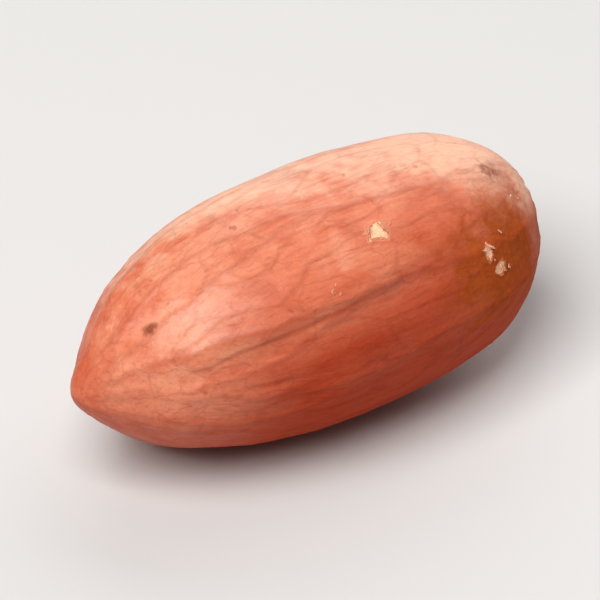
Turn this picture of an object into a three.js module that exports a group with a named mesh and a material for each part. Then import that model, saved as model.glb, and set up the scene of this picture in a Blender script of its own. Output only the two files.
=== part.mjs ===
// A peanut kernel in its papery red skin, lying on its side.
// Millimetres, +Z up. The beak points along -X, the blunt end along +X, and the origin is under the middle.
//
// A place on the skin is given by two angles. Along runs from 0 at the beak to PI at the blunt end.
// Around runs about the long axis, from 0 on the front, -Y, up over the top.

import * as THREE from 'three';
import { mergeVertices } from 'three/addons/utils/BufferGeometryUtils.js';

const { clamp, degToRad, lerp, smoothstep } = THREE.MathUtils;

// Driving dimensions.
const LENGTH = 21;
const WIDTH = 10.6;
const HEIGHT = 10.2;

// The long outline is an ellipse at the beak and a squarer curve at the blunt end, with a low crown on it.
const BEAK_SQUARENESS = 2.05;
const BLUNT_SQUARENESS = 2.45;
const CROWN_REACH = 0.2;
const CROWN_SPREAD = 0.55;

// The beak is the tip of the seed root. It hangs off the axis, down and to the front.
const BEAK_REACH = 0.85;
const BEAK_SPREAD = 0.23;
const BEAK_DROP = 0.65;
const BEAK_SWING = 0.3;
const BEAK_HOOK = 4;

// The axis bows, with the belly low on the front.
const BOW = 0.45;
const BOW_ROLL = degToRad(-52);

// The cleft between the two seed halves shows through the skin as a valley. It climbs the front on its way from
// the beak and fades at the blunt end. One half has slipped a little past the other.
const CLEFT_ROLL = degToRad(21.5);
const CLEFT_CLIMB = degToRad(20);
const CLEFT_DEPTH = 0.2;
const CLEFT_SPREAD = 0.55;
const HALF_SLIP = 0.16;
const SLIP_SPREAD = 0.5;
const CLEFT_FADE_FROM = 1.4;
const CLEFT_FADE_TO = 2.5;

// The scar of the seed stalk is a shallow pit beside the beak, on the far side.
const SCAR_DEPTH = 0.16;
const SCAR_SPREAD = 0.55;
const SCAR_ALONG = 0.42;
const SCAR_AROUND = degToRad(215);

// The veins of the skin are low ridges that leave the blunt end, fork and fade towards the beak.
const VEIN_COUNT = 9;
const VEIN_HEIGHT = 0.05;
const VEIN_SPREAD = 0.32;
const VEIN_SCATTER = 0.22;
const VEIN_WAVE = 0.07;
const VEIN_WAVES_ALONG = 4;
const VEIN_FORK_AT = 1.75;
const VEIN_FORK_LENGTH = 0.9;
const VEIN_FORK_WIDTH = 0.2;
const VEIN_FADE = 0.6;

// The grown seed is softly uneven: waves that run round it and twist along it.
const LUMPS = [
  { size: 0.17, turns: 2, twist: 1.8, phase: 0.6 },
  { size: 0.1, turns: 3, twist: -2.2, phase: 0 },
];

// How far the lowest point is flattened into the spot that the kernel rests on.
const REST_DEPTH = 0.24;

// Faces around the kernel and along it.
const AROUND_FACES = 108;
const ALONG_FACES = 52;

const SKIN_COLOUR = 0xc06a4e;
const SKIN_ROUGHNESS = 0.55;

function bell(distance, spread) {
  return Math.exp(-((distance / spread) ** 2));
}

// The shortest turn from one angle to another, from -PI to PI.
function turnBetween(from, to) {
  return Math.atan2(Math.sin(to - from), Math.cos(to - from));
}

// The place on the axis, from -1 at the beak to 1 at the blunt end, and the share of the full radius there.
function outline(along) {
  const bluntness = smoothstep(along, 0.3 * Math.PI, 0.7 * Math.PI);
  const power = 2 / lerp(BEAK_SQUARENESS, BLUNT_SQUARENESS, bluntness);
  const reach = -Math.sign(Math.cos(along)) * Math.abs(Math.cos(along)) ** power;
  const swell = Math.sin(along) ** power;
  return { reach, swell };
}

function veinRelief(along, around, radius) {
  const fork = VEIN_FORK_WIDTH * smoothstep(VEIN_FORK_AT - along, 0, VEIN_FORK_LENGTH);
  let relief = 0;
  for (let i = 0; i < VEIN_COUNT; i += 1) {
    const root = (2 * Math.PI * (i + VEIN_SCATTER * Math.sin(5 * i))) / VEIN_COUNT;
    const path = root + VEIN_WAVE * Math.sin(VEIN_WAVES_ALONG * along + 2 * root);
    for (const branch of [path - fork, path + fork]) {
      relief = Math.max(relief, bell(radius * turnBetween(branch, around), VEIN_SPREAD));
    }
  }
  return VEIN_HEIGHT * relief * Math.sin(along) ** VEIN_FADE;
}

function scarRelief(along, around) {
  const across = Math.sin(along) * turnBetween(SCAR_AROUND, around);
  const distance = (HEIGHT / 2) * Math.hypot(along - SCAR_ALONG, across);
  return -SCAR_DEPTH * bell(distance, SCAR_SPREAD);
}

function lumpRelief(around, reach, swell) {
  const wave = ({ size, turns, twist, phase }) => size * Math.sin(turns * around + twist * reach + phase);
  return swell * LUMPS.reduce((sum, lump) => sum + wave(lump), 0);
}

// Presses the cleft into a point of the skin. It lies in a sheet that holds the axis and twists about it.
function pressCleft(point, along, { reach, swell }) {
  const roll = CLEFT_ROLL + (CLEFT_CLIMB * (1 + reach)) / 2;
  const towardsFront = new THREE.Vector3(0, -Math.cos(roll), Math.sin(roll));
  const plane = new THREE.Vector3(0, Math.sin(roll), Math.cos(roll));
  const offPlane = plane.dot(point);
  const strength = swell * (1 - smoothstep(along, CLEFT_FADE_FROM, CLEFT_FADE_TO));
  const slip = HALF_SLIP * Math.tanh(offPlane / SLIP_SPREAD);
  const valley = CLEFT_DEPTH * bell(offPlane, CLEFT_SPREAD) * Math.sign(towardsFront.dot(point));
  point.addScaledVector(towardsFront, strength * (slip - valley));
}

function skinPoint(along, around) {
  const section = outline(along);
  const { reach, swell } = section;
  const radius = (HEIGHT / 2) * swell;
  const relief = lumpRelief(around, reach, swell) + veinRelief(along, around, radius) + scarRelief(along, around);

  const beak = BEAK_REACH * bell(along, BEAK_SPREAD);
  const crown = CROWN_REACH * bell(Math.PI - along, CROWN_SPREAD);
  const point = new THREE.Vector3(
    ((LENGTH - BEAK_REACH - CROWN_REACH) / 2) * reach - beak + crown,
    -Math.cos(around) * (radius * (WIDTH / HEIGHT) + relief),
    Math.sin(around) * (radius + relief),
  );
  pressCleft(point, along, section);

  const bow = BOW * Math.sin(along) ** 2;
  const hook = ((1 + Math.cos(along)) / 2) ** BEAK_HOOK;
  point.y -= bow * Math.cos(BOW_ROLL) + hook * BEAK_SWING;
  point.z += bow * Math.sin(BOW_ROLL) - hook * BEAK_DROP;
  return point;
}

// A ball with its poles at the ends of the kernel, each of its points moved out to the skin.
function kernelGeometry() {
  const ball = new THREE.SphereGeometry(1, AROUND_FACES, ALONG_FACES).rotateZ(Math.PI / 2);
  ball.deleteAttribute('normal');
  ball.deleteAttribute('uv');
  const geometry = mergeVertices(ball);
  const position = geometry.getAttribute('position');
  for (let i = 0; i < position.count; i += 1) {
    const along = Math.acos(clamp(-position.getX(i), -1, 1));
    const around = Math.atan2(position.getZ(i), -position.getY(i));
    position.setXYZ(i, ...skinPoint(along, around));
  }

  // Stand it on a small flat spot at the origin's height, with its middle over the origin.
  geometry.computeBoundingBox();
  const middle = geometry.boundingBox.getCenter(new THREE.Vector3());
  geometry.translate(-middle.x, -middle.y, -geometry.boundingBox.min.z - REST_DEPTH);
  for (let i = 0; i < position.count; i += 1) {
    position.setZ(i, Math.max(position.getZ(i), 0));
  }
  geometry.computeVertexNormals();
  return geometry;
}

function makeKernel() {
  const skin = new THREE.MeshStandardMaterial({
    color: SKIN_COLOUR,
    roughness: SKIN_ROUGHNESS,
    metalness: 0,
  });
  const kernel = new THREE.Mesh(kernelGeometry(), skin);
  kernel.name = 'kernel';
  return kernel;
}

const peanut = new THREE.Group();
peanut.add(makeKernel());

export default peanut;
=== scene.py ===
"""A shelled peanut in its papery red skin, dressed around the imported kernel.

Laid out as an add-on and run as a script. Meshes are in metres, and lengths among the constants below are in
millimetres. A place on the skin is given by its share of the length, from the beak to the blunt end, and by
its turn about the long axis, from the front, -Y, up over the top. A constant that is a pair of numbers says
where something starts to show and where it shows in full, unless a comment says otherwise.
"""

import math
import random
from collections import namedtuple

import bmesh
import bpy
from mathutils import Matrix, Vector, noise
from mathutils.bvhtree import BVHTree


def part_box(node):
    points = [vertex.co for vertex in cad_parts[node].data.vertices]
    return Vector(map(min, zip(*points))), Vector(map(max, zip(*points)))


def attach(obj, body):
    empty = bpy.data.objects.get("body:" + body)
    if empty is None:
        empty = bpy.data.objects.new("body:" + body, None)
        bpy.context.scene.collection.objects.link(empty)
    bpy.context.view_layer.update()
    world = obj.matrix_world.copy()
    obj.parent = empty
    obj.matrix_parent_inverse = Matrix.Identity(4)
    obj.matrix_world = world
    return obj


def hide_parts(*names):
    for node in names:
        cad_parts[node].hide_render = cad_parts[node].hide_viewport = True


bl_info = {
    "name": "Shelled Peanut",
    "version": (1, 0, 0),
    "blender": (4, 5, 0),
    "location": "View3D > Sidebar > Peanut",
    "description": "Builds a shelled peanut in its red skin, with a few loose flakes, on a plain stage",
    "category": "Add Mesh",
}

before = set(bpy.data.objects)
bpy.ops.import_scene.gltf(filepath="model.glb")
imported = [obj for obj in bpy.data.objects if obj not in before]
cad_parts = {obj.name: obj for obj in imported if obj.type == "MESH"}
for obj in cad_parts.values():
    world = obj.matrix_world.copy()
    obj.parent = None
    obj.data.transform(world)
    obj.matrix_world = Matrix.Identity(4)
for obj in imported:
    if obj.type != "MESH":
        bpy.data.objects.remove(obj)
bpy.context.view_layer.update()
LOW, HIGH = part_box("kernel")
MIDDLE = (LOW + HIGH) / 2
HALF = (HIGH - LOW) / 2

MM = 0.001
LENGTH = (HIGH.x - LOW.x) / MM

# The kernel's axis runs to the middle of the blunt end. It bows, and hooks down at the beak, as the solid's
# does.
BLUNT_POLE = max((vert.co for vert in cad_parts["kernel"].data.vertices), key=lambda point: point.x)
BOW = 0.45
BOW_ROLL = math.radians(-52)
BEAK_DROP = 0.65
BEAK_SWING = 0.3
BEAK_HOOK = 4

# The ball of faces that is shrunk onto the solid, and the passes that take the solid's flat facets out of it.
MERGE_DISTANCE = 0.0005
GRID_CUTS = 119
SMOOTH_PASSES = 24
SMOOTH_FACTOR = 0.5

# Main veins run where the solid's low ridges do. They leave the blunt end and fork towards the beak.
VEIN_COUNT = 9
VEIN_SCATTER = 0.22
VEIN_WAVE = 0.07
VEIN_WAVES_ALONG = 4
VEIN_FORK_AT = 1.75
VEIN_FORK_LENGTH = 0.9
VEIN_FORK_TURN = 0.2
VEIN_FADE = 0.6
VEIN_SPREAD = 0.17
VEIN_WAVER = 0.22
VEIN_WAVER_RATE = 0.9
VEIN_ROOTS = [math.tau * (i + VEIN_SCATTER * math.sin(5 * i)) / VEIN_COUNT for i in range(VEIN_COUNT)]

# The net of fine veins between them: long cells, drawn out along the kernel and pulled about. It is coloured
# a little less than the main veins are.
NET_CELLS = Vector((0.17, 0.60, 0.60))
NET_PULL = 0.40
NET_PULL_RATE = 0.40
NET_LINE = 0.09
NET_SEED = 2
NET_COLOURING = 0.8

# The crease in the cleft, on the front and on the far side. It climbs on its way from the beak, wavers,
# breaks off here and there and fades towards both ends. A short crease lies below it.
CREASE_TURN = math.radians(24.5)
CREASE_CLIMB = math.radians(20)
CREASE_SPREAD = 0.10
CREASE_WAVER = 0.3
CREASE_WAVER_RATE = 0.5
CREASE_WAVER_ROW = 3.7
CREASE_BREAKS = (-0.55, 0.25)
CREASE_BREAK_RATE = 0.45
CREASE_BREAK_ROW = 8.1
CREASE_START = (0.08, 0.26)
CREASE_END = (0.72, 0.50)
SHORT_CREASE_TURN = math.radians(10)
SHORT_CREASE_SHARE = 0.305
SHORT_CREASE_REACH = 0.055
SHORT_CREASE_STRENGTH = 0.7

# Papery wrinkles, drawn out along the kernel and stronger towards its two ends, and soft dents. The three
# numbers of a fractal noise are its falloff, how much finer each of its layers is, and how many there are.
WRINKLE_STRETCH = Vector((0.22, 1.0, 1.0))
WRINKLE_RATE = 1.5
WRINKLE_NOISE = (0.9, 2.1, 4)
WRINKLING = 0.5
BEAK_WRINKLES = (0.30, 0.05)
BLUNT_WRINKLES = (0.80, 0.97)
BLUNT_WRINKLING = 0.8
DENT_RATE = 0.42

# Small folds that run in to the blunt pole, and the scar in their middle.
GATHER_COUNT = 17
GATHER_WAVER = 5
GATHER_WAVER_RATE = 0.8
GATHER_SHARE = (0.955, 0.99)
GATHER_RADIUS = (0.15, 0.6)
POLE_SCAR_SHARE = (0.90, 0.95)
POLE_SCAR_RADIUS = (1.08, 0.45)

# The lower seed half is painted a deeper red, partly pigment and partly painted shade, from a soft border at
# the cleft, and not at the beak. The underside is painted a darker red as painted shade, and the beak's tip
# and a few patches take that colour too. A border across the kernel is a sine of a turn.
LOWER_SHADE_BORDER = (0.10, -0.36)
LOWER_SHADE_START = (0.12, 0.37)
UNDERSIDE_SHADE_BORDER = (0.12, -0.42)
TIP_BORDER = (0.08, 0.01)
TIP_RED = 0.5
RED_PATCH_STRENGTH = 0.75

Spot = namedtuple("Spot", "share turn long wide")

# Places where the skin is torn to the pale seed, bruised, brown (partly painted shade), rubbed (partly a
# painted highlight), paler (mostly a painted highlight) or a darker red: share, turn in degrees, and size
# along the kernel and around it.
TORN_SPOTS = (
    Spot(0.579, 57.5, 0.80, 0.80),
    Spot(0.790, 29, 0.38, 0.70),
    Spot(0.813, 18, 0.42, 0.46),
    Spot(0.350, 172, 0.90, 0.60),
    Spot(0.700, 215, 1.10, 0.70),
    Spot(0.880, 166, 0.50, 0.40),
)
BRUISED_SPOTS = (
    Spot(0.128, 66, 0.54, 0.44),
    Spot(0.891, 70, 1.10, 0.80),
    Spot(0.640, 150, 0.90, 0.70),
    Spot(0.240, 240, 1.00, 0.80),
)
# Brown skin at the blunt end and the lower front, partly painted shade where the kernel turns from the light.
TOASTED_AND_SHADE_SPOTS = (
    Spot(0.885, 25, 5.0, 4.4),
    Spot(0.800, 20, 3.8, 3.4),
    Spot(0.950, 200, 4.0, 4.4),
)
# Paler rubbed patches, partly a painted highlight, as on the soft sheen beside the beak and along the top.
WORN_AND_HIGHLIGHT_SPOTS = (
    Spot(0.193, 58, 3.6, 2.8),
    Spot(0.498, 56, 0.9, 1.8),
    Spot(0.460, 104, 6.0, 2.8),
    Spot(0.430, 190, 4.5, 3.0),
    Spot(0.130, 8, 4.2, 3.2),
    Spot(0.270, 94, 5.2, 2.0),
)
# Paler, faded patches, mostly a painted highlight: a band along the top and a strip round the blunt end's
# rim.
DRY_AND_HIGHLIGHT_SPOTS = (
    Spot(0.790, 110, 8.6, 4.6),
    Spot(0.866, 87, 4.4, 3.9),
    Spot(0.440, 128, 9.0, 3.2),
    Spot(0.950, 45, 1.1, 5.4),
    Spot(0.933, 18, 0.9, 3.6),
    Spot(0.620, 232, 5.0, 2.6),
)
# Patches of a darker red by the crease and low by the beak.
RED_PATCHES = (
    Spot(0.312, 38, 2.4, 2.8),
    Spot(0.125, -16, 4.2, 1.9),
    Spot(0.700, 42, 3.4, 2.6),
)

# The scar of the seed stalk, beside the beak on the far side.
STALK_SCAR = Spot(0.080, -145, 1.5, 0.9)
STALK_SCAR_EDGE = (1.2, 0.7)
STALK_SCAR_RAGGED = 0.3

# The spots that the finish reads by name, and how ragged the edges of each kind are.
SPOT_KINDS = {
    "torn": (TORN_SPOTS, 0.6),
    "bruised": (BRUISED_SPOTS, 0.5),
    "toasted_and_shade": (TOASTED_AND_SHADE_SPOTS, 0.5),
    "worn_and_highlight": (WORN_AND_HIGHLIGHT_SPOTS, 0.6),
    "dry_and_highlight": (DRY_AND_HIGHLIGHT_SPOTS, 0.5),
}
RED_PATCH_RAGGED = 0.5
SPOT_EDGE_RATE = 1.6
SPOT_EDGE_NOISE = (1.0, 2.0, 3)
SPOT_REACH = 3

# A tear goes down over its ragged edge, by how deep a place is in the spot, and the skin's lip stands up
# around it.
TEAR_EDGE = (0.46, 0.56)
TEAR_LIP = 0.6
TEAR_LIP_AT = 0.42
TEAR_LIP_SPREAD = 0.07

# Where crumbs of loose skin cling: share and turn in degrees.
CRUMBS = (
    (0.595, 58), (0.800, 26), (0.826, 14), (0.845, 33), (0.905, 52), (0.460, 40),
    (0.380, 165), (0.560, 168), (0.715, 222), (0.860, 205), (0.300, 225), (0.885, 162),
)
CRUMB_SEED = 7
CRUMB_SPREAD = 0.22

# The least and the most that is drawn for them: how many cling together, their length and width as shares,
# and their curl in degrees.
CRUMBS_TOGETHER = (1, 3)
CRUMB_SIZES = (0.6, 1.4)
CRUMB_WIDTHS = (0.5, 1.1)
CRUMB_CURLS = (25, 75)

Flake = namedtuple("Flake", "spot bearing long wide curl")

# Loose flakes of skin on the rims of the torn spots: which spot, where on its rim, from the way to the blunt
# end up over the top, size, and curl in degrees.
FLAKES = (
    Flake(0, 10, 0.42, 0.60, 75),
    Flake(0, 150, 0.30, 0.45, 50),
    Flake(1, 30, 0.34, 0.45, 80),
    Flake(2, -20, 0.36, 0.40, 65),
    Flake(3, 10, 0.36, 0.45, 65),
    Flake(3, 200, 0.30, 0.40, 50),
    Flake(4, 35, 0.38, 0.50, 70),
    Flake(4, 200, 0.32, 0.45, 55),
    Flake(5, 60, 0.30, 0.35, 75),
)
FLAKE_ROOT = 1.4
FLAKE_SUNK = 0.015

# A loose leaf of skin: faces along each side, how tattered it is, and how it narrows to its tip.
LEAF_FACES = 8
LEAF_TATTER = 0.35
LEAF_TATTER_RATE_ALONG = 2.3
LEAF_TATTER_RATE_ACROSS = 1.9
LEAF_TAPER = 0.85

Cloud = namedtuple("Cloud", "along rate detail roughness distortion")

# Noises in the finishes. The smaller the first number, the further a noise is drawn out along the kernel. The
# second is its waves to the millimetre.
MOTTLE = Cloud(1, 0.33, 4, 0.55, 0.4)
STREAKS = Cloud(0.16, 1.3, 5, 0.60, 0.3)
FIBRE = Cloud(0.10, 6.0, 5, 0.65, 0)
GRAIN = Cloud(1, 7.0, 4, 0.65, 0)
CRUMBLE = Cloud(1, 3.0, 5, 0.70, 0)
PATCHES = Cloud(1, 1.0, 4, 0.60, 0.5)
TATTERS = Cloud(0.45, 4.0, 5, 0.70, 0.6)
FLAKE_STREAKS = Cloud(0.35, 4.0, 4, 0.60, 0)
FLOOR_CLOUD = Cloud(1, 0.01, 2, 0.50, 0)
DOT_SOFTNESS = 0.08

# Sockets of a Mix node that mixes colours.
MIX_FACTOR = 0
MIX_FIRST = 6
MIX_SECOND = 7
MIX_RESULT = 2

# Half the floor's side, in metres.
FLOOR_REACH = 1.5


def length_property(name, description, millimetres):
    """A size that a user may change, in metres behind the sidebar's own units."""
    return bpy.props.FloatProperty(
        name=name,
        description=description,
        default=millimetres * MM,
        min=0,
        precision=6,
        unit="LENGTH",
    )


def colour_property(name, description, colour):
    """A colour that a user may change."""
    return bpy.props.FloatVectorProperty(
        name=name,
        description=description,
        default=colour,
        min=0,
        max=1,
        subtype="COLOR",
    )


class PeanutSkinSettings(bpy.types.PropertyGroup):
    """Sizes of the skin's relief and the colours of the skin."""

    vein_height: length_property("Vein height", "How far the main veins stand out", 0.045)
    net_height: length_property("Net height", "How far the fine veins stand out", 0.020)
    crease_depth: length_property("Crease depth", "How deep the crease in the cleft is", 0.05)
    wrinkle_height: length_property("Wrinkle height", "How high the papery wrinkles are", 0.022)
    dent_depth: length_property("Dent depth", "How deep the soft dents are", 0.07)
    tear_depth: length_property("Tear depth", "How far torn spots and scars are let in", 0.05)

    red: colour_property("Red", "The skin's main colour", (0.66, 0.165, 0.080))
    pale: colour_property("Pale", "The skin where it is thin or worn", (0.80, 0.31, 0.175))
    # The next colour is mostly a painted highlight, along the top and round the blunt end's rim.
    dry_and_highlight: colour_property("Dry", "The skin where it is dry and faded", (0.90, 0.52, 0.34))
    # The next colour is painted shade on the underside, and also colours the beak's tip and a few patches.
    ruddy_and_shade: colour_property("Ruddy", "The underside, the beak's tip and flushed spots", (0.50, 0.070, 0.020))
    # The next colour is real in the streaks. It is also the painted shade of the lower seed half and the
    # painted shadow under the lifted edges of tears.
    deep: colour_property("Deep", "The skin in its streaks and on the lower seed half", (0.40, 0.034, 0.008))
    # The next colour also gives the crease's dark line, which is painted shade.
    vein: colour_property("Vein", "The veins, the net between them and the crease", (0.26, 0.018, 0.004))
    # The next colour is brown skin, partly painted shade of the blunt end.
    toasted_and_shade: colour_property("Toasted", "The browned skin of the blunt end", (0.39, 0.072, 0.010))
    bruise: colour_property("Bruise", "The small dark spots", (0.20, 0.035, 0.010))
    seed: colour_property("Seed", "The pale seed where the skin is torn", (0.92, 0.61, 0.38))


class PeanutFlakeSettings(bpy.types.PropertyGroup):
    """Thickness, size and colours of the loose flakes of skin."""

    thickness: length_property("Flake thickness", "Thickness of the loose skin", 0.03)
    crumb: length_property("Crumb size", "Length of a middling crumb of skin", 0.18)
    outer: colour_property("Outer side", "The loose skin's red side", (0.66, 0.22, 0.11))
    inner: colour_property("Inner side", "The loose skin's pale side", (0.84, 0.50, 0.32))


class PeanutStageSettings(bpy.types.PropertyGroup):
    """The camera's place and the floor's colour."""

    azimuth: bpy.props.FloatProperty(
        name="Azimuth",
        description="Turn of the camera about the kernel, from the front",
        default=math.radians(-33),
        subtype="ANGLE",
    )
    elevation: bpy.props.FloatProperty(
        name="Elevation",
        description="Height of the camera over the floor",
        default=math.radians(38),
        subtype="ANGLE",
    )
    distance: length_property("Distance", "From the camera to the kernel", 450)
    view_width: length_property("View width", "What the camera takes in across the kernel", 23.4)
    floor: colour_property("Floor", "The floor's colour", (0.62, 0.605, 0.59))


class Value:
    """A socket of a finish. Arithmetic on values adds Math nodes."""

    def __init__(self, finish, socket):
        self.finish = finish
        self.socket = socket

    def maths(self, operation, first, second):
        """A Math node on two values, or on a value and a number."""
        return self.finish.node("ShaderNodeMath", {"operation": operation}, {0: first, 1: second})

    def __add__(self, other):
        return self.maths("ADD", self, other)

    def __sub__(self, other):
        return self.maths("SUBTRACT", self, other)

    def __rsub__(self, other):
        return self.maths("SUBTRACT", other, self)

    def __mul__(self, other):
        return self.maths("MULTIPLY", self, other)

    __radd__ = __add__
    __rmul__ = __mul__


class Finish:
    """A procedural material that is being made."""

    def __init__(self, name):
        self.material = bpy.data.materials.new(name)
        self.material.use_nodes = True
        self.tree = self.material.node_tree
        self.surface = self.tree.nodes["Principled BSDF"]

    def node(self, kind, settings, sockets, output=0):
        """Adds a node, sets it up, fills or links its sockets and gives one of its outputs."""
        node = self.tree.nodes.new(kind)
        for name, setting in settings.items():
            setattr(node, name, setting)
        self.fill(node, sockets)
        return Value(self, node.outputs[output])

    def fill(self, node, sockets):
        """Links each socket of a node to a value, or sets it."""
        for key, value in sockets.items():
            if isinstance(value, Value):
                self.tree.links.new(value.socket, node.inputs[key])
            else:
                node.inputs[key].default_value = value

    def vector(self, operation, sockets):
        """A Vector Math node."""
        return self.node("ShaderNodeVectorMath", {"operation": operation}, sockets)

    def millimetres(self):
        """The place on the piece, in millimetres."""
        place = self.node("ShaderNodeTexCoord", {}, {}, "Object")
        return self.vector("SCALE", {"Vector": place, "Scale": 1 / MM})

    def drawn_out(self, place, along):
        """The place with its length squeezed, so that a pattern on it is drawn out."""
        return self.vector("MULTIPLY", {0: place, 1: (along, 1, 1)})

    def pulled(self, place, rate, far):
        """The place pulled about by a noise, by so many millimetres at most."""
        pull = self.node("ShaderNodeTexNoise", {}, {"Vector": place, "Scale": rate}, "Color")
        return self.vector("ADD", {0: place, 1: self.tint(pull, far)})

    def cloud(self, place, cloud):
        """A noise from about 0.2 to 0.8."""
        sockets = {
            "Vector": self.drawn_out(place, cloud.along),
            "Scale": cloud.rate,
            "Detail": cloud.detail,
            "Roughness": cloud.roughness,
            "Distortion": cloud.distortion,
        }
        return self.node("ShaderNodeTexNoise", {}, sockets)

    def dots(self, place, rate, largest):
        """Scattered dots of mixed sizes, up to a largest radius in cells. About half the cells are bare."""
        sockets = {"Vector": place, "Scale": rate}
        distance = self.node("ShaderNodeTexVoronoi", {}, sockets, "Distance")
        chance = self.node("ShaderNodeTexVoronoi", {}, sockets, "Color")
        chance = self.node("ShaderNodeSeparateColor", {}, {"Color": chance}, "Red")
        radius = (chance * 2 - 1) * largest
        return self.step(radius - distance, 0, DOT_SOFTNESS)

    def netting(self, place, rate, line):
        """A net of lines between cells, so many cells to the millimetre."""
        sockets = {"Vector": place, "Scale": rate}
        distance = self.node("ShaderNodeTexVoronoi", {"feature": "DISTANCE_TO_EDGE"}, sockets)
        return self.step(distance, line, 0)

    def attribute(self, name):
        """A value that the piece's mesh holds at each point."""
        return self.node("ShaderNodeAttribute", {"attribute_name": name}, {}, "Fac")

    def step(self, value, low, high):
        """A smooth step from 0 at low to 1 at high, or down where high is the lower one."""
        start, end = (0, 1) if low < high else (1, 0)
        sockets = {
            "Value": value,
            "From Min": min(low, high),
            "From Max": max(low, high),
            "To Min": start,
            "To Max": end,
        }
        return self.node("ShaderNodeMapRange", {"interpolation_type": "SMOOTHSTEP"}, sockets)

    def blend(self, factor, first, second):
        """One colour or the other, by a factor."""
        sockets = {MIX_FACTOR: factor, MIX_FIRST: first, MIX_SECOND: second}
        return self.node("ShaderNodeMix", {"data_type": "RGBA"}, sockets, MIX_RESULT)

    def tint(self, colour, factor):
        """A colour made lighter or darker."""
        return self.vector("SCALE", {"Vector": colour, "Scale": factor})


def opaque(colour):
    """A colour as a colour socket takes it."""
    return (*colour, 1)


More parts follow.
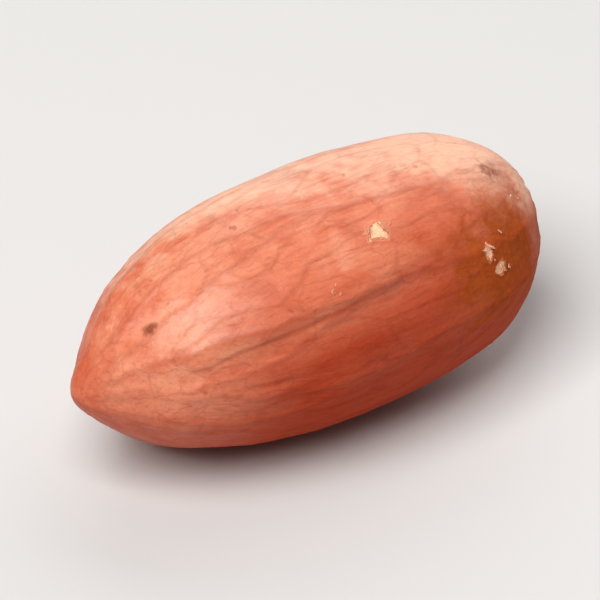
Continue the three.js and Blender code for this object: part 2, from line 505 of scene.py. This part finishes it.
def skin_finish(settings):
    """Papery seed skin: mottled, streaked and veined red, with brown, torn and bruised spots, and painted
    light and shade.
    """
    finish = Finish("papery_red_skin")
    place = finish.millimetres()

    mottle = finish.cloud(place, MOTTLE)
    streaks = finish.cloud(place, STREAKS)
    fibre = finish.cloud(place, FIBRE)
    grain = finish.cloud(place, GRAIN)
    crumble = finish.cloud(place, CRUMBLE)
    patches = finish.cloud(place, PATCHES)
    tatters = finish.cloud(place, TATTERS)
    cells = finish.drawn_out(finish.pulled(place, rate=0.9, far=0.8), along=0.34)
    net = finish.netting(cells, rate=1.25, line=0.07) * finish.step(patches, 0.32, 0.60)
    freckles = finish.dots(finish.pulled(place, rate=2.5, far=0.5), rate=1.1, largest=0.20)
    flecks = finish.dots(finish.drawn_out(place, along=0.6), rate=0.9, largest=0.22)

    # Where the marks of the mesh show, with the edges of the spots broken up by the noises.
    vein = finish.attribute("vein")
    crease = finish.attribute("crease")
    scar = finish.attribute("scar")
    lower = finish.attribute("lower")
    ruddy_and_shade = finish.attribute("ruddy_and_shade")
    ragged = finish.attribute("torn") + tatters * 0.60 - 0.30
    torn = finish.step(ragged, 0.48, 0.53)
    # A thin painted shadow under the lifted edge of each tear.
    painted_tear_shadow = finish.step(ragged, 0.43, 0.48) - torn
    frayed = finish.step(ragged, 0.30, 0.44) - torn
    bruised = finish.step(finish.attribute("bruised") + crumble * 1.1 - 0.55, 0.28, 0.95)
    # Paler rubbed patches, partly a painted highlight.
    worn_and_highlight = finish.step(finish.attribute("worn_and_highlight") + streaks * 0.6 - 0.3, 0.25, 0.85)
    # Paler, faded patches, mostly a painted highlight.
    dry_and_highlight = finish.step(finish.attribute("dry_and_highlight") + streaks * 0.4 + patches * 0.3 - 0.35, 0.08, 0.86)
    # Brown skin, partly painted shade of the blunt end.
    toasted_and_shade = finish.attribute("toasted_and_shade") + patches * 0.8 + streaks * 0.3 + crumble * 0.7
    browned_and_shade = finish.step(toasted_and_shade, 1.00, 1.65) * (1 - dry_and_highlight * 0.75)

    pale = opaque(settings.pale)
    deep = opaque(settings.deep)
    dark = opaque(settings.vein)
    brown = finish.tint(settings.toasted_and_shade, 0.40 + crumble * 1.2)
    bared = finish.blend(finish.step(crumble, 0.56, 0.34) * 0.55, opaque(settings.seed), pale)

    # The coats of colour, from the lowest up: where each lies, how well it covers, and its colour.
    coats = (
        (finish.step(mottle, 0.40, 0.72), 0.65, pale),
        (finish.step(streaks, 0.50, 0.30), 0.32, deep),
        (finish.step(streaks, 0.56, 0.74), 0.34, pale),
        (finish.step(fibre, 0.56, 0.72), 0.22, pale),
        # Paler rubbed patches, partly a painted highlight.
        (worn_and_highlight, 0.60, pale),
        # Mostly a painted highlight along the top and round the blunt end.
        (dry_and_highlight, 0.75, opaque(settings.dry_and_highlight)),
        # Painted shade on the underside, and a darker red on the beak's tip and a few patches.
        (ruddy_and_shade, 0.45 + patches * 0.80, opaque(settings.ruddy_and_shade)),
        # Painted shade, partly pigment, on the lower seed half.
        (lower, 0.33 + streaks * 0.90, deep),
        (finish.step(fibre, 0.50, 0.33), 0.22, dark),
        # Brown blunt end, partly painted shade.
        (browned_and_shade, 0.88, brown),
        (vein, 0.29, dark),
        (net, 0.17, dark),
        # Painted shade: the dark line along the crease.
        (crease, 0.52, dark),
        (scar, 0.25 + crumble * 0.9, brown),
        (freckles, 0.38, dark),
        (flecks, 0.30, pale),
        (bruised, 0.85, opaque(settings.bruise)),
        (frayed, 0.55, pale),
        # Painted shadow under a tear's lifted edge.
        (painted_tear_shadow, 0.45, deep),
        (torn, 0.92, bared),
    )
    colour = opaque(settings.red)
    for mask, cover, coat in coats:
        colour = finish.blend(mask * cover, colour, coat)

    roughness = 0.40 + streaks * 0.14 + grain * 0.10 + torn * 0.15
    roughness = roughness + lower * 0.20 + browned_and_shade * 0.15 - worn_and_highlight * 0.05
    oily = (0.32 + worn_and_highlight * 0.20 + mottle * 0.40) * (1 - lower * 0.85) * (1 - browned_and_shade * 0.9)
    oily = oily * (1 - bruised * 0.7) * (1 - torn)
    height = grain * 0.35 + fibre * 0.60 + net * 0.25 - freckles * 0.2 - torn * 0.5
    bump = finish.node(
        "ShaderNodeBump",
        {},
        {"Strength": 0.6, "Distance": 0.06 * MM, "Height": height},
    )
    finish.fill(
        finish.surface,
        {
            "Base Color": finish.tint(colour, 0.80 + grain * 0.40),
            "Roughness": roughness,
            "Normal": bump,
            "Subsurface Weight": 0.14,
            "Subsurface Radius": (1.0, 0.35, 0.18),
            "Subsurface Scale": 0.7 * MM,
            "Specular IOR Level": 0.05,
            "Specular Tint": (1.0, 0.86, 0.76, 1),
            "Coat Weight": oily,
            "Coat Roughness": 0.42,
        },
    )
    return finish.material


def flake_finish(settings):
    """Loose skin: parched and papery, red on its outer side and pale on its inner one."""
    finish = Finish("loose_skin")
    streaks = finish.cloud(finish.millimetres(), FLAKE_STREAKS)
    inner = finish.attribute("inner")
    colour = finish.blend(inner, opaque(settings.outer), opaque(settings.inner))
    finish.fill(
        finish.surface,
        {
            "Base Color": finish.tint(colour, 0.70 + streaks * 0.60),
            "Roughness": 0.50 + streaks * 0.20,
            "Subsurface Weight": 0.20,
            "Subsurface Radius": (1.0, 0.45, 0.25),
            "Subsurface Scale": 0.2 * MM,
        },
    )
    return finish.material


def floor_finish(settings):
    """A plain matt floor with hardly any mottling."""
    finish = Finish("pale_floor")
    cloud = finish.cloud(finish.millimetres(), FLOOR_CLOUD)
    finish.fill(
        finish.surface,
        {"Base Color": finish.tint(settings.floor, 0.99 + cloud * 0.02), "Roughness": 0.75},
    )
    return finish.material


def bell(distance, spread):
    """A smooth hump: 1 in its middle, and hardly anything past twice its spread."""
    return math.exp(-((distance / spread) ** 2))


def step(value, low, high):
    """A smooth step from 0 at low to 1 at high, or down where high is the lower one."""
    share = min(max((value - low) / (high - low), 0.0), 1.0)
    return share * share * (3 - 2 * share)


def axis_at(share):
    """The point of the bowed axis at a share of the length."""
    along = math.acos(1 - 2 * share)
    bow = BOW * math.sin(along) ** 2
    hook = ((1 + math.cos(along)) / 2) ** BEAK_HOOK
    forward = bow * math.cos(BOW_ROLL) + hook * BEAK_SWING
    rise = bow * math.sin(BOW_ROLL) - hook * BEAK_DROP
    across = BLUNT_POLE.y - forward * MM
    return Vector((LOW.x + share * (HIGH.x - LOW.x), across, BLUNT_POLE.z + rise * MM))


def skin_at(tree, share, turn):
    """The point of the finished skin at a share and a turn, and the way that it faces."""
    outwards = Vector((0, -math.cos(turn), math.sin(turn)))
    point, normal, *_ = tree.ray_cast(axis_at(share), outwards)
    return point, normal


class Place:
    """A place on the skin, from a point in metres."""

    def __init__(self, point):
        self.mm = (point - MIDDLE) / MM
        self.share = min(max((point.x - LOW.x) / (HIGH.x - LOW.x), 0.0), 1.0)
        self.along = math.acos(1 - 2 * self.share)
        off_axis = (point - axis_at(self.share)) / MM
        self.turn = math.atan2(off_axis.z, -off_axis.y)
        self.radius = math.hypot(off_axis.z, off_axis.y)

    def around(self, turn):
        """How far round the skin this place lies from a turn, in millimetres."""
        return self.radius * math.remainder(self.turn - turn, math.tau)

    def spot(self, spot, ragged):
        """How far out from a spot's middle this place lies: 1 is its edge."""
        along = 2 * (self.share - spot.share) * LENGTH / spot.long
        if abs(along) > SPOT_REACH:
            return SPOT_REACH
        around = 2 * self.around(math.radians(spot.turn)) / spot.wide
        unevenness = noise.fractal(self.mm * SPOT_EDGE_RATE, *SPOT_EDGE_NOISE)
        return math.hypot(along, around) + ragged * unevenness

    def row_noise(self, rate, row):
        """A noise that changes along the kernel alone, read on one row."""
        return noise.noise(Vector((self.mm.x * rate, row, 0)))

    def crease_turn(self):
        """The turn of the crease on the front, at this place's share."""
        return CREASE_TURN + CREASE_CLIMB * self.share


def depth_in(place, spots, ragged):
    """How deep a place is in any of the spots: 1 in a middle, a half on an edge and 0 well outside."""
    nearest = min(place.spot(spot, ragged) for spot in spots)
    return min(max(1 - nearest / 2, 0), 1)


def vein_at(place):
    """How much a main vein shows, from 0 to 1."""
    fork = VEIN_FORK_TURN * step(VEIN_FORK_AT - place.along, 0, VEIN_FORK_LENGTH)
    waver = VEIN_WAVER * noise.noise(place.mm * VEIN_WAVER_RATE)
    strength = 0
    for root in VEIN_ROOTS:
        path = root + VEIN_WAVE * math.sin(VEIN_WAVES_ALONG * place.along + 2 * root)
        for branch in (path - fork, path + fork):
            strength = max(strength, bell(place.around(branch) + waver, VEIN_SPREAD))
    return strength * math.sin(place.along) ** VEIN_FADE


def net_at(place):
    """How much a fine vein shows, from 0 to 1: the borders of long, pulled cells."""
    pull = NET_PULL * noise.noise_vector(place.mm * NET_PULL_RATE)
    near, next_near = noise.voronoi(place.mm * NET_CELLS + pull)[0][:2]
    return 1 - step(next_near - near, 0, NET_LINE)


def crease_at(place):
    """How much the crease in the cleft shows, from 0 to 1."""
    waver = CREASE_WAVER * place.row_noise(CREASE_WAVER_RATE, CREASE_WAVER_ROW)
    front = place.crease_turn()
    across = min(abs(place.around(turn) + waver) for turn in (front, front - math.pi))
    fade = step(place.share, *CREASE_START) * step(place.share, *CREASE_END)
    broken = step(place.row_noise(CREASE_BREAK_RATE, CREASE_BREAK_ROW), *CREASE_BREAKS)
    short = bell(place.around(SHORT_CREASE_TURN) + waver, CREASE_SPREAD)
    short *= bell(place.share - SHORT_CREASE_SHARE, SHORT_CREASE_REACH)
    return max(bell(across, CREASE_SPREAD) * fade * broken, SHORT_CREASE_STRENGTH * short)


def lower_half_shade_at(place):
    """How far a place is into the lower seed half, from 0 to 1: where a deeper red is painted, partly as
    painted shade.
    """
    off_crease = math.sin(place.turn - place.crease_turn())
    return step(off_crease, *LOWER_SHADE_BORDER) * step(place.share, *LOWER_SHADE_START)


def ruddy_and_shade_at(place):
    """How much a place takes the darker red: painted shade on the underside, and on the beak's tip and the
    red patches.
    """
    underside = step(math.sin(place.turn), *UNDERSIDE_SHADE_BORDER)
    tip = TIP_RED * step(place.share, *TIP_BORDER)
    return max(underside, tip, RED_PATCH_STRENGTH * depth_in(place, RED_PATCHES, RED_PATCH_RAGGED))


def scar_at(place):
    """How much a place is in the stalk's scar or in the scar at the blunt pole, from 0 to 1."""
    stalk = step(place.spot(STALK_SCAR, STALK_SCAR_RAGGED), *STALK_SCAR_EDGE)
    pole = step(place.radius, *POLE_SCAR_RADIUS) * step(place.share, *POLE_SCAR_SHARE)
    return max(stalk, pole)


def gathers_at(place):
    """The small folds that run in to the blunt pole, from -1 to 1."""
    waver = GATHER_WAVER * noise.noise(place.mm * GATHER_WAVER_RATE)
    folds = math.sin(GATHER_COUNT * place.turn + waver)
    return folds * step(place.share, *GATHER_SHARE) * step(place.radius, *GATHER_RADIUS)


def wrinkle_at(place):
    """The papery wrinkles, up and down, stronger towards the two ends."""
    wrinkling = WRINKLING + step(place.share, *BEAK_WRINKLES)
    wrinkling += BLUNT_WRINKLING * step(place.share, *BLUNT_WRINKLES)
    return wrinkling * noise.fractal(place.mm * WRINKLE_STRETCH * WRINKLE_RATE, *WRINKLE_NOISE)


def solid_tree():
    """The solid's surface, merged from its loose triangles, for rays to meet."""
    solid = bmesh.new()
    solid.from_mesh(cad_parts["kernel"].data)
    bmesh.ops.remove_doubles(solid, verts=solid.verts, dist=MERGE_DISTANCE * MM)
    tree = BVHTree.FromBMesh(solid)
    solid.free()
    return tree


def shrink_to_solid(skin):
    """Makes a cube of fine faces an even ball and lays each of its points on the solid."""
    tree = solid_tree()
    for vert in skin.verts:
        even = Vector([math.tan(math.pi / 4 * side) for side in vert.co])
        direction = (even.normalized() * HALF).normalized()
        point, *_ = tree.ray_cast(MIDDLE, direction)
        vert.co = point
    for _ in range(SMOOTH_PASSES):
        bmesh.ops.smooth_vert(
            skin,
            verts=skin.verts,
            factor=SMOOTH_FACTOR,
            use_axis_x=True,
            use_axis_y=True,
            use_axis_z=True,
        )
    skin.normal_update()


def raise_relief(skin, settings):
    """Lifts veins and wrinkles out of the skin, presses creases and tears in, and marks where each is."""
    names = ("vein", "crease", "scar", "lower", "ruddy_and_shade", *SPOT_KINDS)
    layers = {name: skin.verts.layers.float.new(name) for name in names}
    lifts = []
    for vert in skin.verts:
        place = Place(vert.co)
        vein = vein_at(place)
        net = net_at(place) * (1 - vert.normal.x ** 2)
        crease = crease_at(place)
        scar = scar_at(place)
        marks = {kind: depth_in(place, *spots) for kind, spots in SPOT_KINDS.items()}
        marks["vein"] = max(vein, NET_COLOURING * net)
        marks["crease"] = crease
        marks["scar"] = scar
        marks["lower"] = lower_half_shade_at(place)
        marks["ruddy_and_shade"] = ruddy_and_shade_at(place)
        for name, mark in marks.items():
            vert[layers[name]] = mark

        torn = marks["torn"]
        lip = TEAR_LIP * bell(torn - TEAR_LIP_AT, TEAR_LIP_SPREAD)
        lift = settings.vein_height * vein + settings.net_height * net
        lift += settings.wrinkle_height * wrinkle_at(place)
        lift += settings.wrinkle_height * gathers_at(place)
        lift += settings.dent_depth * noise.noise(place.mm * DENT_RATE)
        lift -= settings.tear_depth * scar
        lift -= settings.crease_depth * crease
        lift -= settings.tear_depth * (step(torn, *TEAR_EDGE) - lip)
        lifts.append(vert.normal * lift)
    for vert, lift in zip(skin.verts, lifts):
        vert.co += lift
        vert.co.z = max(vert.co.z, LOW.z)


def finished_piece(name, mesh_builder, material):
    """Turns a bmesh into a smooth piece of the object, at the origin and riding on the body."""
    for face in mesh_builder.faces:
        face.smooth = True
    mesh = bpy.data.meshes.new(name)
    mesh_builder.to_mesh(mesh)
    mesh_builder.free()
    mesh.materials.append(material)
    piece = bpy.data.objects.new(name, mesh)
    bpy.context.scene.collection.objects.link(piece)
    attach(piece, "root")
    return piece


class PEANUT_OT_skin(bpy.types.Operator):
    """Build the skin over the whole kernel, with its veins, wrinkles, crease and torn spots"""

    bl_idname = "peanut.skin"
    bl_label = "Skin"

    def execute(self, context):
        settings = context.scene.peanut_skin
        noise.seed_set(NET_SEED)
        skin = bmesh.new()
        bmesh.ops.create_cube(skin, size=2)
        bmesh.ops.subdivide_edges(skin, edges=skin.edges, cuts=GRID_CUTS, use_grid_fill=True)
        shrink_to_solid(skin)
        raise_relief(skin, settings)
        piece = finished_piece("peanut_skin", skin, skin_finish(settings))
        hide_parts("kernel")
        return {"FINISHED"}


class PEANUT_OT_flakes(bpy.types.Operator):
    """Set small curled flakes of loose skin on the torn spots' rims, and crumbs of it near them"""

    bl_idname = "peanut.flakes"
    bl_label = "Flakes"

    def execute(self, context):
        settings = context.scene.peanut_flakes
        depsgraph = context.evaluated_depsgraph_get()
        tree = BVHTree.FromObject(bpy.data.objects["peanut_skin"], depsgraph)
        flakes = bmesh.new()
        inner = flakes.verts.layers.float.new("inner")
        for flake in FLAKES:
            self.add_rim_flake(flakes, tree, flake)
        draw = random.Random(CRUMB_SEED)
        for share, turn in CRUMBS:
            for _ in range(draw.randint(*CRUMBS_TOGETHER)):
                self.add_crumb(flakes, tree, share, math.radians(turn), settings.crumb / MM, draw)
        flakes.normal_update()
        walls = bmesh.ops.solidify(flakes, geom=flakes.faces[:], thickness=settings.thickness)
        for added in walls["geom"]:
            if isinstance(added, bmesh.types.BMVert):
                added[inner] = 1
        piece = finished_piece("skin_flakes", flakes, flake_finish(settings))
        return {"FINISHED"}

    def add_rim_flake(self, flakes, tree, flake):
        """Adds a flake with its root outside a spot's rim, running in to the spot."""
        spot = TORN_SPOTS[flake.spot]
        middle, normal = skin_at(tree, spot.share, math.radians(spot.turn))
        ahead = (Vector((1, 0, 0)) - normal * normal.x).normalized()
        bearing = math.radians(flake.bearing)
        rim = ahead * math.cos(bearing) * spot.long / 2
        rim += normal.cross(ahead) * math.sin(bearing) * spot.wide / 2
        root, normal, *_ = tree.find_nearest(middle + FLAKE_ROOT * rim * MM)
        self.add_leaf(flakes, root, normal, -rim, flake)

    def add_crumb(self, flakes, tree, share, turn, size, draw):
        """Adds a small loose leaf somewhere near a place on the skin."""
        share += draw.gauss(0, CRUMB_SPREAD) / LENGTH
        turn += draw.gauss(0, CRUMB_SPREAD) * MM / HALF.z
        root, normal = skin_at(tree, share, turn)
        heading = Vector([draw.gauss(0, 1) for _ in range(3)])
        size *= draw.uniform(*CRUMB_SIZES)
        bearing = draw.uniform(0, 360)
        width = size * draw.uniform(*CRUMB_WIDTHS)
        crumb = Flake(None, bearing, size, width, draw.uniform(*CRUMB_CURLS))
        self.add_leaf(flakes, root, normal, heading, crumb)

    def add_leaf(self, flakes, root, normal, heading, flake):
        """Adds one ragged leaf that starts flat on the skin and curls up as it runs out along its heading."""
        out = (heading - normal * normal.dot(heading)).normalized()
        curl = math.radians(flake.curl)
        leaf = bmesh.ops.create_grid(flakes, x_segments=LEAF_FACES, y_segments=LEAF_FACES, size=1)
        for vert in leaf["verts"]:
            share = (vert.co.x + 1) / 2
            along = share * LEAF_TATTER_RATE_ALONG
            across = vert.co.y * LEAF_TATTER_RATE_ACROSS
            tatter = 1 + LEAF_TATTER * noise.noise(Vector((along, across, flake.bearing)))
            taper = math.sqrt(1 - LEAF_TAPER * share ** 2)
            aside = tatter * vert.co.y * flake.wide / 2 * taper
            reach = tatter * flake.long / curl * math.sin(curl * share)
            rise = tatter * flake.long / curl * (1 - math.cos(curl * share)) - FLAKE_SUNK
            vert.co = root + (out * reach + normal.cross(out) * aside + normal * rise) * MM


def aim(thing, target):
    """Turns a lamp or a camera to look at a point."""
    thing.rotation_euler = (target - thing.location).to_track_quat("-Z", "Y").to_euler()


def sight(azimuth, elevation):
    """The direction from the kernel to a place seen at that azimuth and elevation."""
    level = math.cos(elevation)
    return Vector((math.sin(azimuth) * level, -math.cos(azimuth) * level, math.sin(elevation)))


class PEANUT_OT_stage(bpy.types.Operator):
    """Set up the floor, the soft studio light and the camera"""

    bl_idname = "peanut.stage"
    bl_label = "Stage"

    def add_floor(self, settings):
        ground = bmesh.new()
        bmesh.ops.create_grid(ground, x_segments=1, y_segments=1, size=FLOOR_REACH)
        mesh = bpy.data.meshes.new("floor")
        ground.to_mesh(mesh)
        ground.free()
        mesh.materials.append(floor_finish(settings))
        floor = bpy.data.objects.new("floor", mesh)
        bpy.context.scene.collection.objects.link(floor)

    def add_softbox(self, name, azimuth, elevation, distance, size, white):
        """A square lamp, in metres, that makes a white card facing it by the kernel look so bright."""
        data = bpy.data.lights.new(name, "AREA")
        data.shape = "SQUARE"
        data.size = size
        data.energy = white * math.pi ** 2 * distance ** 2
        lamp = bpy.data.objects.new(name, data)
        bpy.context.scene.collection.objects.link(lamp)
        lamp.visible_camera = False
        lamp.location = MIDDLE + distance * sight(math.radians(azimuth), math.radians(elevation))
        aim(lamp, MIDDLE)

    def add_world(self, strength):
        world = bpy.data.worlds.new("studio")
        world.use_nodes = True
        background = world.node_tree.nodes["Background"]
        background.inputs["Color"].default_value = (1, 1, 1, 1)
        background.inputs["Strength"].default_value = strength
        bpy.context.scene.world = world

    def add_camera(self, settings):
        data = bpy.data.cameras.new("camera")
        data.lens = data.sensor_width * settings.distance / settings.view_width
        data.clip_start = 0.01
        camera = bpy.data.objects.new("camera", data)
        bpy.context.scene.collection.objects.link(camera)
        camera.location = MIDDLE + settings.distance * sight(settings.azimuth, settings.elevation)
        aim(camera, MIDDLE)
        bpy.context.scene.camera = camera

    def execute(self, context):
        settings = context.scene.peanut_stage
        self.add_floor(settings)
        self.add_softbox("key", azimuth=-64, elevation=60, distance=0.5, size=0.36, white=1.36)
        self.add_softbox("back", azimuth=126, elevation=26, distance=0.5, size=0.70, white=0.92)
        self.add_world(strength=0.12)
        self.add_camera(settings)
        context.scene.view_settings.view_transform = "Standard"
        return {"FINISHED"}


class PEANUT_PT_build(bpy.types.Panel):
    """The peanut's pieces and their settings"""

    bl_idname = "PEANUT_PT_build"
    bl_label = "Shelled Peanut"
    bl_space_type = "VIEW_3D"
    bl_region_type = "UI"
    bl_category = "Peanut"

    def draw(self, context):
        for operator, settings in (
            (PEANUT_OT_skin, context.scene.peanut_skin),
            (PEANUT_OT_flakes, context.scene.peanut_flakes),
            (PEANUT_OT_stage, context.scene.peanut_stage),
        ):
            box = self.layout.box()
            box.operator(operator.bl_idname)
            for name in settings.__annotations__:
                box.prop(settings, name)


CLASSES = (
    PeanutSkinSettings,
    PeanutFlakeSettings,
    PeanutStageSettings,
    PEANUT_OT_skin,
    PEANUT_OT_flakes,
    PEANUT_OT_stage,
    PEANUT_PT_build,
)


def register():
    for cls in CLASSES:
        bpy.utils.register_class(cls)
    bpy.types.Scene.peanut_skin = bpy.props.PointerProperty(type=PeanutSkinSettings)
    bpy.types.Scene.peanut_flakes = bpy.props.PointerProperty(type=PeanutFlakeSettings)
    bpy.types.Scene.peanut_stage = bpy.props.PointerProperty(type=PeanutStageSettings)


def unregister():
    del bpy.types.Scene.peanut_stage
    del bpy.types.Scene.peanut_flakes
    del bpy.types.Scene.peanut_skin
    for cls in reversed(CLASSES):
        bpy.utils.unregister_class(cls)


def main():
    register()
    bpy.ops.peanut.skin()
    bpy.ops.peanut.flakes()
    bpy.ops.peanut.stage()


if __name__ == "__main__":
    main()
